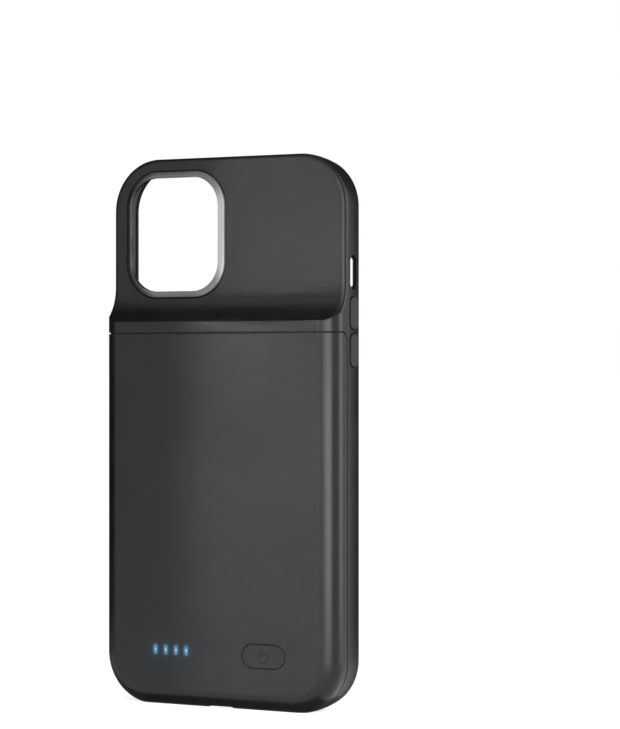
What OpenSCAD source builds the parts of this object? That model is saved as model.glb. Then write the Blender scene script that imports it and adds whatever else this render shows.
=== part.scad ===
// Back clip power bank: a one-piece looking battery case, an open tray with a battery hump on its back.
// Standing on its flat foot, back towards -Y, open tray towards +Y, +Z up. Millimetres.

// Node to draw ("all" draws the whole case)

/* [Case shell] */
// Width of the case
case_w = 75.4; // [74.9:0.1:77]
// Height of the case
case_h = 152.8; // [152.3:0.1:155]
// Corner radius of the case, seen from the back
case_r = 14.5; // [14:0.1:15.5]
// Thickness of the thin upper part
slim_t = 9.2; // [9.1:0.05:9.6]
// Thickness over the battery
case_t = 15; // [15:0.1:15.6]
// Rounding of the front edge
front_edge = 0.9; // [0.7:0.1:1.1]
// Radius of the crowned side, which leans in towards the front
crown_r = 45; // [35:1:60]
// Rounding of the back edge of the thin upper part
slim_edge = 1.3; // [1:0.1:1.4]
// Rounding of the back edge over the battery
hump_edge = 4.6; // [4.2:0.1:5]
// Height cut from the rounded lower edge to make the flat foot
foot_cut = 0.5; // [0.3:0.1:0.9]

/* [Scoop above the battery] */
// Height at which the scoop leaves the thin upper back
scoop_top = 117; // [116.5:0.1:118]
// Height of the crisp crease at the top of the battery hump
crease_z = 106.9; // [106.5:0.1:107.5]

/* [Parting line] */
// Height of the line across the back
line_z = 103.9; // [103:0.1:104.4]
// Depth of the line from the front, down both sides
line_n = 7.8; // [7.7:0.05:7.9]
// Rounding where the line turns from across to down
line_r = 3; // [2:0.1:4]
// Width of the line
line_w = 0.35; // [0.2:0.05:0.5]
// Depth of the line
line_deep = 0.5; // [0.3:0.05:0.7]

/* [Tray] */
// Width that the tray takes
phone_w = 71.5; // [71.2:0.1:71.6]
// Height that the tray takes
phone_h = 146.7; // [146.4:0.1:146.8]
// Thickness that the tray takes
phone_t = 7.4; // [7.2:0.05:7.45]
// Corner radius that the tray takes
phone_r = 12.9; // [12.5:0.1:13.2]
// Room left all round in the tray
phone_gap = 0.15; // [0.1:0.05:0.2]
// Height of the chin below the tray
chin_h = 4.4; // [4.3:0.05:4.6]
// Thickness of the lip round the tray's mouth
lip_t = 0.8; // [0.6:0.05:0.8]
// Reach of the lip over the tray
lip_in = 0.5; // [0.3:0.05:0.7]

/* [Battery cover] */
// Wall of the battery cover
cover_wall = 1.2; // [1.1:0.05:1.3]
// Gap between the cover's wall and the tray inside it
cover_gap = 0.15; // [0.1:0.05:0.3]

/* [Window ring] */
// Outer width of the ring
ring_w = 32.8; // [32.4:0.1:33.1]
// Outer height of the ring
ring_h = 35.7; // [35.2:0.1:36]
// Sideways place of the ring's centre
ring_x = -16.9; // [-17.1:0.05:-16.4]
// Distance from the scoop's upper end to the ring's centre
ring_up = 14.45; // [14.15:0.05:14.7]
// Outer corner radius of the ring
ring_r = 10.2; // [9.6:0.1:11]
// Width of the ring's face
ring_band = 1.9; // [1.8:0.1:2.2]
// How far the ring's inner edge stands out of the back
ring_rise = 1.0; // [0.9:0.05:1.1]
// Gap round the ring
ring_gap = 0.2; // [0.15:0.05:0.3]
// Ledge under the ring
ring_ledge = 1.3; // [1:0.1:1.5]

/* [Power button and lights] */
// Length of the power button
button_w = 13.4; // [12.8:0.1:14]
// Height of the power button
button_h = 6.3; // [5.8:0.1:6.6]
// Sideways place of the power button
button_x = 15.2; // [14:0.1:16]
// Height of the power button's centre
button_z = 15.05; // [14.6:0.05:15.5]
// Groove round the power button
button_gap = 0.25; // [0.2:0.05:0.4]
// Travel of the power button
button_travel = 0.35; // [0.2:0.05:0.35]
// Sideways place of the middle of the row of lights
lights_x = -14.8; // [-15.5:0.1:-14.2]
// Spacing of the lights
lights_pitch = 3.36; // [3.2:0.02:3.6]
// Height of the lights
lights_z = 15.4; // [15:0.1:15.8]
// Width of a light
light_w = 1.5; // [1.2:0.1:1.8]
// Height of a light
light_h = 2.9; // [2.4:0.1:3.4]

/* [Keys in the side walls] */
// Thickness of the skin outside a key's flange
key_skin = 1.0; // [0.9:0.05:1.05]
// How far a key stands out of the wall
key_proud = 0.35; // [0.2:0.05:0.5]
// Travel of a key
key_travel = 0.3; // [0.2:0.05:0.35]
// Gap between a key's flange and the skin outside it
key_play = 0.1; // [0.05:0.01:0.1]
// Gap round a key
key_gap = 0.2; // [0.15:0.05:0.25]
// Depth of the key slots, front to back
key_deep = 4.0; // [3.6:0.1:4.2]
// Middle of the key slots, from the front
key_n = 4.5; // [4.4:0.1:4.6]
// Lower end of the side key
side_key_z0 = 93.8; // [93:0.1:94.5]
// Length of the side key
side_key_l = 18; // [16:0.5:18]
// Lower end of the volume down key
down_key_z0 = 94.4; // [94:0.1:95]
// Lower end of the volume up key
up_key_z0 = 104.6; // [104.4:0.1:105]
// Length of a volume key
volume_key_l = 8.8; // [8:0.1:9]
// Lower end of the mute opening
mute_z0 = 115.4; // [115:0.1:116]
// Length of the mute opening
mute_l = 9.4; // [8.5:0.1:10]
// Depth of the mute opening, front to back
mute_deep = 4.4; // [4.1:0.1:4.6]

/* [Battery] */
// Width of the cell
cell_w = 62; // [56:1:63]
// Height of the cell
cell_h = 74; // [68:1:75]
// Thickness of the cell
cell_t = 4; // [3.6:0.1:4.1]
// Lower end of the cell
cell_z0 = 27.5; // [27:0.1:28]
// Thickness of the adhesive sheet under the cell
tape_t = 0.15; // [0.1:0.05:0.2]

/* [Board] */
// Width of the board
board_w = 50; // [48:1:52]
// Height of the board
board_h = 15.5; // [15:0.1:16]
// Thickness of the board
board_t = 0.8; // [0.8:0.1:0.9]
// Lower edge of the board
board_z0 = 7; // [6.9:0.1:7.1]
// Gap between the tray's back and the board
board_up = 1.5; // [1.4:0.1:1.6]
// Shaft of a board screw
screw_d = 1.4; // [1.3:0.05:1.5]
// Head of a board screw
screw_head = 2.6; // [2.4:0.1:2.8]

/* [Connectors] */
// Width of the plug in the tray
plug_w = 6.65; // [6.5:0.05:6.7]
// Thickness of the plug in the tray
plug_t = 1.5; // [1.4:0.05:1.6]
// Length of the plug in the tray
plug_l = 6.6; // [6:0.1:6.8]
// Width of the charging socket
socket_w = 7.6; // [7.4:0.1:7.8]
// Height of the charging socket's mouth
socket_t = 2.5; // [2.3:0.05:2.6]

/* [Hidden] */
$fn = 96;
foot_z = -foot_cut;
ring_z = scoop_top + ring_up;
// The ring's face: radius of its arc, and how far it leans outwards at its inner edge
ring_arc = 5;
ring_lean = 10;
reach = 0.8 * case_w;
duct_x = 0.265 * case_w;
duct_n = 4;
guard_h = 3.2;
tray_w = phone_w + 2 * phone_gap;
tray_h = phone_h + 2 * phone_gap;
tray_r = phone_r + phone_gap;
tray_n = lip_t + phone_t + 0.1;
wall = (case_w - tray_w) / 2;
scoop_a = scoop_top - crease_z;
scoop_b = case_t - slim_t;
scoop_r = (scoop_a * scoop_a + scoop_b * scoop_b) / (2 * scoop_b);
scoop_n = slim_t + scoop_r;
cover_floor = case_t - cover_wall;
plate_in = cover_wall + cover_gap + 0.25;
side_x = case_w / 2;
key_slot_x = side_x - key_skin;
key_flange = 0.4;
mute_n = 4.2;
// The crown's arc: depth of its centre, and where it leaves the straight wall
crown_n = 8.6;
crown_meet = 6.9;
crown_back = 7.4;
key_grip = 0.5;
cell_n = slim_t + tape_t;
board_n = slim_t + board_up;
board_top = board_n + board_t;
boss_d = screw_d + 2.4;
screw_xs = [-board_w / 2 + 3, board_w / 2 - 3];
screw_zs = [board_z0 + 3, board_z0 + board_h - 3];
socket_n = board_n - 0.1;
socket_z = 0.9;
socket_l = board_z0 - socket_z;
plug_n = lip_t + phone_t / 2;
led_t = 0.6;
lens_n0 = board_top + led_t + 0.1;
light_xs = [-1.5, -0.5, 0.5, 1.5];
switch_n1 = board_top + 1.0;

// Helpers: every shape is placed by x, by its depth n behind the front face, and by z.

// A block between two corners
module block(x0, x1, n0, n1, z0, z1) {
    translate([x0, case_t / 2 - n1, z0])
        cube([x1 - x0, n1 - n0, z1 - z0]);
}

// A flat outline (x, z) carried from depth n0 to depth n1
module slab(n0, n1) {
    translate([0, case_t / 2 - n0, 0])
        rotate([90, 0, 0])
        linear_extrude(height = n1 - n0)
        children();
}

// A quarter disc
module quarter(r) {
    intersection() {
        circle(r = r);
        square([r + 1, r + 1]);
    }
}

// A rounded rectangle, from squares and quarter discs so that its corners stay true arcs
module rounded(x0, x1, z0, z1, r) {
    translate([x0 + r, z0])
        square([x1 - x0 - 2 * r, z1 - z0]);
    translate([x0, z0 + r])
        square([r, z1 - z0 - 2 * r]);
    translate([x1 - r, z0 + r])
        square([r, z1 - z0 - 2 * r]);
    translate([x1 - r, z1 - r])
        quarter(r);
    translate([x0 + r, z1 - r])
        rotate(90)
        quarter(r);
    translate([x0 + r, z0 + r])
        rotate(180)
        quarter(r);
    translate([x1 - r, z0 + r])
        rotate(270)
        quarter(r);
}

// The section of a rim: u outwards, n backwards, with its back edge rounded by fb
module rim_section(u0, r, n0, n1, fb) {
    translate([u0, n0])
        square([r - fb - u0, n1 - n0]);
    if (fb > 0) {
        translate([r - fb, n0])
            square([fb, n1 - n0 - fb]);
        translate([r - fb, n1 - fb])
            quarter(fb);
    }
}

// The section of the room inside the crowned side: one large arc, and the front rounding.
// It passes a little beyond the front face and the straight wall, so that each crosses the next at an angle.
module crowned_section(r) {
    front_n = front_edge - 0.1;
    u_arc = r - sqrt(pow(crown_r, 2) - pow(crown_n - crown_meet, 2));
    u_round = u_arc + sqrt(pow(crown_r, 2) - pow(crown_n - front_n, 2)) - front_edge + 0.03;
    intersection() {
        translate([u_arc, crown_n])
            circle(r = crown_r, $fn = 720);
        union() {
            translate([0, -0.1])
                square([u_round, crown_back + 0.1]);
            translate([u_round, front_n])
                square([r - u_round + 1, crown_back - front_n]);
            translate([u_round, front_n])
                circle(r = front_edge);
        }
    }
}

// Carries a rim section round a rounded rectangle. With low or high off, the sides run on straight there.
module round_rim(x0, x1, z0, z1, r, low = true, high = true) {
    lo = low ? z0 + r : z0;
    hi = high ? z1 - r : z1;
    translate([0, case_t / 2, 0]) {
        translate([x1 - r, 0, hi])
            rotate([180, 0, 0])
            linear_extrude(height = hi - lo)
            children();
        translate([x0 + r, 0, lo])
            rotate([180, 180, 0])
            linear_extrude(height = hi - lo)
            children();
        if (low) {
            translate([x1 - r, 0, lo])
                rotate([180, 90, 0])
                linear_extrude(height = x1 - x0 - 2 * r)
                children();
            translate([x1 - r, 0, lo])
                rotate([90, 90, 0])
                rotate_extrude(angle = 90)
                children();
            translate([x0 + r, 0, lo])
                rotate([90, 180, 0])
                rotate_extrude(angle = 90)
                children();
        }
        if (high) {
            translate([x0 + r, 0, hi])
                rotate([180, 270, 0])
                linear_extrude(height = x1 - x0 - 2 * r)
                children();
            translate([x1 - r, 0, hi])
                rotate([90, 0, 0])
                rotate_extrude(angle = 90)
                children();
            translate([x0 + r, 0, hi])
                rotate([90, 270, 0])
                rotate_extrude(angle = 90)
                children();
        }
    }
}

// A soft-edged solid: the rim above and the core it closes round
module pillow(w, z0, z1, r, n0, n1, fb, low = true, high = true) {
    round_rim(-w / 2, w / 2, z0, z1, r, low, high)
        rim_section(0, r, n0, n1, fb);
    block(-w / 2 + r, w / 2 - r, n0, n1, low ? z0 + r : z0, high ? z1 - r : z1);
}

// A horizontal cylinder along x
module rod(x0, x1, n, z, r) {
    translate([x0, case_t / 2 - n, z])
        rotate([0, 90, 0])
        cylinder(h = x1 - x0, r = r);
}

// A cylinder along the depth
module post(x, z, n0, n1, r) {
    translate([x, case_t / 2 - n0, z])
        rotate([90, 0, 0])
        cylinder(h = n1 - n0, r = r);
}

// The scoop: a cylinder lying across the back, tangent to the thin upper back
module scoop(extra) {
    rod(-reach, reach, scoop_n, scoop_top, scoop_r + extra);
}

// Rounds the edge where the scoop runs out through one side wall, down to the crease
module scoop_edge(side) {
    translate([0, case_t / 2 - scoop_n, scoop_top])
        rotate([0, side > 0 ? 90 : -90, 0])
        rotate([0, 0, 90])
        rotate_extrude(angle = side > 0 ? -62 : 62)
        difference() {
            translate([scoop_r - 0.6, side_x - slim_edge])
                square([slim_edge + 0.6, slim_edge + 1]);
            translate([scoop_r + slim_edge, side_x - slim_edge])
                circle(r = slim_edge);
        }
}

// The outside of the thick lower half, up to scoop_top
module lower_form(inset = 0) {
    difference() {
        pillow(case_w - 2 * inset, inset > 0 ? 0.25 : foot_z, scoop_top, case_r - inset, 0, case_t - inset,
            hump_edge - inset, true, false);
        scoop(inset);
        block(-reach, reach, -1, case_t + 1, foot_z - 5, 0);
    }
}

// The outside of the thin upper half
module upper_form() {
    pillow(case_w, scoop_top, case_h, case_r, 0, slim_t, slim_edge, false, true);
}

// The room inside the crowned sides, open towards the back
module crowned_room() {
    round_rim(-side_x, side_x, foot_z, case_h, case_r)
        crowned_section(case_r);
    block(-side_x + case_r, side_x - case_r, -0.1, crown_back, foot_z + case_r, case_h - case_r);
    block(-reach, reach, crown_back, case_t + 2, foot_z - 10, case_h + 10);
}

// What lies behind the parting line: everything of the battery cover, side view carried across
module cover_zone(inset, reach) {
    zr = max(line_r - inset, 0.2);
    translate([-reach, 0, 0])
        rotate([90, 0, 90])
        linear_extrude(height = 2 * reach)
        translate([case_t / 2, 0]) {
            // y runs towards the front here, so depth n is drawn as -n
            translate([-line_n - inset - zr, line_z - inset - zr])
                quarter(zr);
            translate([-line_n - inset - zr, -5])
                square([zr, line_z - inset - zr + 5]);
            translate([-case_t - 2, -5])
                square([case_t + 2 - line_n - inset - zr, line_z - inset + 5]);
        }
}

// Outline of a key: straight sides and ends cut to a point's width
module key_outline(z0, l, grow) {
    d = key_deep / 2 + grow;
    c = 1.0;
    translate([case_t / 2 - key_n, 0])
        polygon([[-d, z0 - grow + c], [-d + c, z0 - grow], [d - c, z0 - grow], [d, z0 - grow + c],
            [d, z0 + l + grow - c], [d - c, z0 + l + grow], [-d + c, z0 + l + grow],
            [-d, z0 + l + grow - c]]);
}

// Carries a side outline (y, z) from x = a to x = b
module side_slab(a, b) {
    translate([a, 0, 0])
        rotate([90, 0, 90])
        linear_extrude(height = b - a)
        children();
}

// Slot and flange pocket of a key in one side wall
module key_slot(side, z0, l) {
    a = side > 0 ? side_x - wall - 1 : -side_x - 1;
    side_slab(a, a + wall + 2)
        key_outline(z0, l, key_gap);
    b = side > 0 ? side_x - wall - 1 : -key_slot_x;
    side_slab(b, b + wall - key_skin + 1)
        key_outline(z0, l, key_gap + key_grip);
}

// A key: cap through the wall and the flange that keeps it in
module key(side, z0, l) {
    a = side > 0 ? key_slot_x - key_play - key_flange : -side_x - key_proud;
    side_slab(a, a + key_flange + key_play + key_skin + key_proud)
        key_outline(z0, l, 0);
    b = side > 0 ? key_slot_x - key_play - key_flange : -key_slot_x + key_play;
    side_slab(b, b + key_flange)
        key_outline(z0, l, key_grip - key_gap);
}

// Named parts

module bumper_frame() {
    color([0.28, 0.29, 0.29])
    difference() {
        union() {
            difference() {
                intersection() {
                    union() {
                        difference() {
                            lower_form();
                            scoop_edge(1);
                            scoop_edge(-1);
                            cover_zone(0, reach);
                        }
                        upper_form();
                    }
                    crowned_room();
                }
                band_core();
            }
            // the tray's back, which runs on down behind the battery cover
            slab(line_n - 0.6, slim_t)
                rounded(-side_x + plate_in, side_x - plate_in, cover_wall + cover_gap, line_z,
                    case_r - plate_in);
            block(-side_x + plate_in, side_x - plate_in, line_n - 0.6, slim_t, line_z / 2, line_z + 1);
            for (x = screw_xs, z = screw_zs)
                post(x, z, slim_t, board_n, boss_d / 2);
            // ribs that locate the cell
            for (s = [-1, 1])
                block(s * (cell_w / 2 + 0.8) - 0.5, s * (cell_w / 2 + 0.8) + 0.5, slim_t, slim_t + 2.4,
                    cell_z0 + 6, cell_z0 + cell_h - 6);
            for (s = [-1, 1])
                block(s * duct_x - 4, s * duct_x + 4, slim_t, slim_t + 1.3, cell_z0 - 1.3, cell_z0 - 0.3);
        }
        // the tray's hollow, and the opening in the lip
        slab(lip_t, tray_n)
            rounded(-tray_w / 2, tray_w / 2, chin_h, chin_h + tray_h, tray_r);
        slab(-1, lip_t + 0.1)
            rounded(-tray_w / 2 + lip_in, tray_w / 2 - lip_in, chin_h + lip_in, chin_h + tray_h - lip_in,
                tray_r - lip_in);
        // window with the step the ring sits in
        slab(slim_t - 0.4, slim_t + 8)
            rounded(ring_x - ring_w / 2 - ring_gap, ring_x + ring_w / 2 + ring_gap,
                ring_z - ring_h / 2 - ring_gap, ring_z + ring_h / 2 + ring_gap, ring_r + ring_gap);
        slab(tray_n - 1, slim_t + 8)
            rounded(ring_x - ring_w / 2 + ring_ledge, ring_x + ring_w / 2 - ring_ledge,
                ring_z - ring_h / 2 + ring_ledge, ring_z + ring_h / 2 - ring_ledge, ring_r - ring_ledge);
        key_slot(-1, side_key_z0, side_key_l);
        key_slot(1, down_key_z0, volume_key_l);
        key_slot(1, up_key_z0, volume_key_l);
        mute_opening();
        chin_room();
        for (x = screw_xs, z = screw_zs)
            post(x, z, slim_t - 0.1, board_n + 1, screw_d / 2);
    }
}

// Hollow inside the band above the line, behind the scoop
module band_core() {
    difference() {
        block(-side_x + 3.4, side_x - 3.4, slim_t, cover_floor, line_z - 1, scoop_top - 3);
        scoop(1.2);
    }
}

// Mute opening, with sloping ends
module mute_opening() {
    d = mute_deep / 2;
    c = 1.3;
    side_slab(side_x - wall - 0.8, side_x + 1)
        translate([case_t / 2 - mute_n, 0])
        polygon([[-d, mute_z0 + c], [-d + c, mute_z0], [d - c, mute_z0], [d, mute_z0 + c],
            [d, mute_z0 + mute_l - c], [d - c, mute_z0 + mute_l], [-d + c, mute_z0 + mute_l],
            [-d, mute_z0 + mute_l - c]]);
}

// Plug pocket and the two sound ducts in the chin
module chin_room() {
    block(-6.2, 6.2, plug_n - 2.2, slim_t + 1, 1.2, chin_h - 0.9);
    block(-plug_w / 2 - 0.1, plug_w / 2 + 0.1, plug_n - plug_t / 2 - 0.1, plug_n + plug_t / 2 + 0.1,
        chin_h - 1, chin_h + 1);
    for (s = [-1, 1]) {
        block(s * duct_x - 6, s * duct_x + 6, 1.2, duct_n, 1.4, chin_h + 1);
        for (i = [-2 : 2])
            block(s * duct_x + 2.4 * i - 0.6, s * duct_x + 2.4 * i + 0.6, -1, 2, 2.2, 3.6);
    }
}

module battery_cover() {
    color([0.30, 0.31, 0.32])
    difference() {
        union() {
            intersection() {
                lower_form();
                cover_zone(line_w, reach);
            }
            intersection() {
                lower_form(line_deep);
                cover_zone(0, reach);
            }
        }
        pillow(case_w - 2 * cover_wall - 0.5, cover_wall, line_z + 20, case_r - cover_wall - 0.5,
            line_n - 1, cover_floor, hump_edge - cover_wall - 0.3, true, false);
        slab(cover_floor - 1, case_t + 1)
            stadium(button_x, button_z, button_w + 2 * button_gap, button_h + 2 * button_gap);
        for (i = light_xs)
            slab(cover_floor - 1, case_t + 1)
                light_outline(i, 0.05);
        block(-socket_w / 2 - 0.3, socket_w / 2 + 0.3, socket_n - 0.3, socket_n + socket_t + 0.3, -1, 3);
    }
}

module stadium(x, z, w, h) {
    rounded(x - w / 2, x + w / 2, z - h / 2, z + h / 2, min(w, h) / 2 - 0.01);
}

module light_outline(i, grow) {
    stadium(lights_x + i * lights_pitch, lights_z, light_w + 2 * grow, light_h + 2 * grow - 0.02);
}

// The metal frame round the window: its face is a large arc that falls away outwards
module camera_ring() {
    u0 = ring_r - ring_band;
    top = slim_t + ring_rise;
    color([0.55, 0.56, 0.57])
    round_rim(ring_x - ring_w / 2, ring_x + ring_w / 2, ring_z - ring_h / 2, ring_z + ring_h / 2, ring_r)
        intersection() {
            translate([u0 - ring_arc * sin(ring_lean), top - ring_arc * cos(ring_lean)])
                circle(r = ring_arc, $fn = 180);
            polygon([[u0, slim_t - 0.4], [ring_r, slim_t - 0.4], [ring_r, top - 0.97],
                [ring_r - 0.5, top - 0.25], [ring_r - 0.5, top + 1], [u0, top + 1]]);
        }
}

module battery_cell() {
    color([0.75, 0.76, 0.78])
    pillow(cell_w, cell_z0, cell_z0 + cell_h, 2.2, cell_n, cell_n + cell_t, 1.6);
}

module cell_sheet() {
    color([0.85, 0.83, 0.76])
    slab(slim_t, cell_n)
        rounded(-cell_w / 2 + 4, cell_w / 2 - 4, cell_z0 + 4, cell_z0 + cell_h - 4, 1);
}

// The cell's own guard board along its lower end
module cell_board() {
    color([0.85, 0.68, 0.2])
    block(-cell_w / 2 + 9, cell_w / 2 - 9, board_top - board_t, board_top, cell_z0 - guard_h, cell_z0);
}

// A lead that lies across from the guard board to the main board
module lead(x, r) {
    translate([x, case_t / 2 - board_top - r, board_z0 + board_h - 2])
        cylinder(h = cell_z0 - 1 - board_z0 - board_h + 2, r = r);
}

module red_lead() {
    color([0.75, 0.1, 0.08])
    lead(-6, 0.5);
}

module black_lead() {
    color([0.08, 0.08, 0.08])
    lead(-9, 0.5);
}

module main_board() {
    color([0.05, 0.28, 0.14])
    difference() {
        slab(board_n, board_top)
            rounded(-board_w / 2, board_w / 2, board_z0, board_z0 + board_h, 1.2);
        for (x = screw_xs, z = screw_zs)
            post(x, z, board_n - 1, board_top + 1, screw_d / 2 + 0.05);
    }
}

module board_screws() {
    color([0.75, 0.75, 0.72])
    for (x = screw_xs, z = screw_zs)
        difference() {
            union() {
                post(x, z, slim_t + 0.1, board_top, screw_d / 2 - 0.03);
                post(x, z, board_top, board_top + 0.7, screw_head / 2);
            }
            block(x - 0.8, x + 0.8, board_top + 0.4, board_top + 1, z - 0.2, z + 0.2);
            block(x - 0.2, x + 0.2, board_top + 0.4, board_top + 1, z - 0.8, z + 0.8);
        }
}

module control_chip() {
    color([0.1, 0.1, 0.1])
    block(-3.5, 1.5, board_top, board_top + 0.9, 10.4, 15.4);
}

module charge_chip() {
    color([0.1, 0.1, 0.1])
    block(2.6, 6.6, board_top, board_top + 0.9, 17.4, 21.0);
}

module power_coil() {
    color([0.25, 0.24, 0.24])
    block(-4.6, -0.2, board_top, board_top + 1.5, 16.4, 20.6);
}

module capacitors() {
    color([0.66, 0.5, 0.32])
    for (x = [3.2, 5.2])
        block(x, x + 1.2, board_top, board_top + 0.7, 11.0, 13.2);
}

module charge_socket() {
    color([0.78, 0.79, 0.8])
    difference() {
        block(-socket_w / 2, socket_w / 2, socket_n, socket_n + socket_t, socket_z, socket_z + socket_l);
        block(-socket_w / 2 + 0.3, socket_w / 2 - 0.3, socket_n + 0.3, socket_n + socket_t - 0.3,
            socket_z - 1, socket_z + socket_l - 0.4);
    }
}

module socket_tongue() {
    color([0.1, 0.1, 0.1])
    block(-2.4, 2.4, socket_n + 0.9, socket_n + 1.5, socket_z + 0.6, socket_z + socket_l - 0.4);
}

module phone_plug() {
    color([0.88, 0.88, 0.86])
    slab(plug_n - plug_t / 2, plug_n + plug_t / 2)
        rounded(-plug_w / 2, plug_w / 2, chin_h - 0.9, chin_h + plug_l, 0.7);
}

module plug_base() {
    color([0.12, 0.12, 0.12])
    block(-6, 6, plug_n - 2, plug_n + 2.4, 1.2, chin_h - 0.9);
}

module plug_flex() {
    color([0.8, 0.5, 0.12]) {
        block(-5.9, -4.2, plug_n + 2.4, board_n - 0.2, 2.6, 2.8);
        block(-5.9, -4.2, board_n - 0.2, board_n, 2.6, board_z0 + 3);
    }
}

module switch_body() {
    color([0.7, 0.7, 0.7])
    difference() {
        block(button_x - 1.9, button_x + 1.9, board_top, switch_n1, button_z - 1.6, button_z + 1.6);
        post(button_x, button_z, board_top + 0.3, switch_n1 + 1, 0.9);
    }
}

module switch_stem() {
    color([0.15, 0.15, 0.15])
    post(button_x, button_z, board_top + 0.3 + button_travel + 0.05, cover_floor - 0.65, 0.8);
}

module power_button() {
    color([0.27, 0.28, 0.28])
    difference() {
        union() {
            slab(cover_floor - 0.3, case_t)
                stadium(button_x, button_z, button_w, button_h);
            slab(cover_floor - 0.65, cover_floor - 0.15)
                stadium(button_x, button_z, button_w + 2.2, button_h + 1.6);
        }
        power_mark();
    }
}

// The generic power mark, cut into the button's face
module power_mark() {
    slab(case_t - 0.15, case_t + 1)
        difference() {
            translate([button_x, button_z - 0.3])
                circle(r = 1.6);
            translate([button_x, button_z - 0.3])
                circle(r = 1.25);
            translate([button_x - 0.6, button_z])
                square([1.2, 2]);
        }
    block(button_x - 0.18, button_x + 0.18, case_t - 0.15, case_t + 1, button_z, button_z + 2.1);
}

module led(i) {
    color([0.95, 0.95, 0.88])
    block(lights_x + i * lights_pitch - 0.6, lights_x + i * lights_pitch + 0.6, board_top, board_top + led_t,
        lights_z - 1, lights_z + 1);
}

module lens(i) {
    color([0.6, 0.8, 0.95]) {
        slab(lens_n0, case_t)
            light_outline(i, 0);
    }
}

module side_key() {
    color([0.27, 0.28, 0.28])
    key(-1, side_key_z0, side_key_l);
}

module volume_up_key() {
    color([0.27, 0.28, 0.28])
    key(1, up_key_z0, volume_key_l);
}

module volume_down_key() {
    color([0.27, 0.28, 0.28])
    key(1, down_key_z0, volume_key_l);
}

bumper_frame();
battery_cover();
camera_ring();
battery_cell();
cell_sheet();
cell_board();
red_lead();
black_lead();
main_board();
board_screws();
control_chip();
charge_chip();
power_coil();
capacitors();
charge_socket();
socket_tongue();
phone_plug();
plug_base();
plug_flex();
switch_body();
power_button();
switch_stem();
led(light_xs[0]);  // led_1
led(light_xs[1]);  // led_2
led(light_xs[2]);  // led_3
led(light_xs[3]);  // led_4
lens(light_xs[0]);  // lens_1
lens(light_xs[1]);  // lens_2
lens(light_xs[2]);  // lens_3
lens(light_xs[3]);  // lens_4
side_key();
volume_up_key();
volume_down_key();
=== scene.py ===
# %% [markdown]
# # A clip-on battery case, given its looks
#
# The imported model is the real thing's construction: a thin open tray with a battery on its back. This
# lesson gives each of its pieces a finish, adds the small metal contacts, and sets up a plain white
# studio. The case is a soft-touch plastic moulding, so nearly everything that the eye sees is in how it
# takes the light.

import math

import bmesh
import bpy
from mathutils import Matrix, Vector


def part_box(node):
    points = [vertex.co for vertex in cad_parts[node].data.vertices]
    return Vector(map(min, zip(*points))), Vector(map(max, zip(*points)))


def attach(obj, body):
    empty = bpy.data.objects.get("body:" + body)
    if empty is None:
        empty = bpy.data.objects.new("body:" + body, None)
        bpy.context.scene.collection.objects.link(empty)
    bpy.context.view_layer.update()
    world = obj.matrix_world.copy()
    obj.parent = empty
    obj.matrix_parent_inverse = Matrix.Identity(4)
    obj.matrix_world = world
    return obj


MM = 0.001

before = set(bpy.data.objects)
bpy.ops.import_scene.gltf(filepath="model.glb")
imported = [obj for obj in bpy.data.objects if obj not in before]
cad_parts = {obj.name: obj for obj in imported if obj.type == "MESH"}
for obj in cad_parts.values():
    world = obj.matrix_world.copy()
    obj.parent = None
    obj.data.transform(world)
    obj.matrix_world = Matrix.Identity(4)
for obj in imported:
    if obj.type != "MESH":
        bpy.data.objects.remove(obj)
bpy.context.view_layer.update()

# %% [markdown]
# ## The camera
#
# The case stands square in the frame, and the camera walks round it: thirty degrees to the right of the
# back, level, a bit more than half its height up. A long lens keeps the upright edges upright. The place
# was worked out from the case's own outline, so that every edge falls where it should in a picture of 620
# by 729.

# %% Place the camera
def make_camera(name, place, turn, lens):
    data = bpy.data.cameras.new(name)
    data.sensor_width = 36.0
    data.lens = lens
    camera = bpy.data.objects.new(name, data)
    camera.location = place
    camera.rotation_euler = (math.pi / 2, 0.0, math.radians(turn))
    bpy.context.scene.collection.objects.link(camera)
    return camera


CAMERA_PLACE = Vector((0.40754, -0.66374, 0.09494))
CAMERA_TURN = 29.915
CAMERA_LENS = 138.08

bpy.context.scene.camera = make_camera("studio_camera", CAMERA_PLACE, CAMERA_TURN, CAMERA_LENS)
print("camera is", round(CAMERA_PLACE.xy.length, 3), "m from the case")

# %% [markdown]
# ## Helpers for shader nodes
#
# A finish is a small chain of nodes. Two helpers keep the chains readable: `add` makes a node and fills
# its inputs, and `plug` either types a value into a socket or joins another node's output to it.

# %% Helpers for nodes
def plug(tree, value, socket):
    if isinstance(value, bpy.types.NodeSocket):
        tree.links.new(value, socket)
    elif isinstance(value, tuple) and socket.type == "RGBA":
        socket.default_value = (*value[:3], 1.0)
    else:
        socket.default_value = value


def add(tree, kind, inputs=None, **settings):
    made = tree.nodes.new("ShaderNode" + kind)
    for name, value in settings.items():
        setattr(made, name, value)
    for name, value in (inputs or {}).items():
        plug(tree, value, made.inputs[name])
    return made


def maths(tree, operation, first, second=0.0):
    made = add(tree, "Math", operation=operation)
    plug(tree, first, made.inputs[0])
    plug(tree, second, made.inputs[1])
    return made.outputs[0]


def length_of(tree, across, along):
    """The length of a step that goes across and along."""
    squares = maths(tree, "ADD", maths(tree, "POWER", across, 2.0), maths(tree, "POWER", along, 2.0))
    return maths(tree, "SQRT", squares)


def object_parts(tree, space="Object"):
    """The point's own X, Y and Z, in metres for Object and as shares of the box for Generated."""
    parts = add(tree, "SeparateXYZ")
    plug(tree, add(tree, "TexCoord").outputs[space], parts.inputs[0])
    return parts.outputs


def fade(tree, value, low, high, out_low=0.0, out_high=1.0):
    ends = {"From Min": low, "From Max": high, "To Min": out_low, "To Max": out_high}
    made = add(tree, "MapRange", ends, interpolation_type="SMOOTHSTEP")
    plug(tree, value, made.inputs["Value"])
    return made.outputs["Result"]


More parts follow.
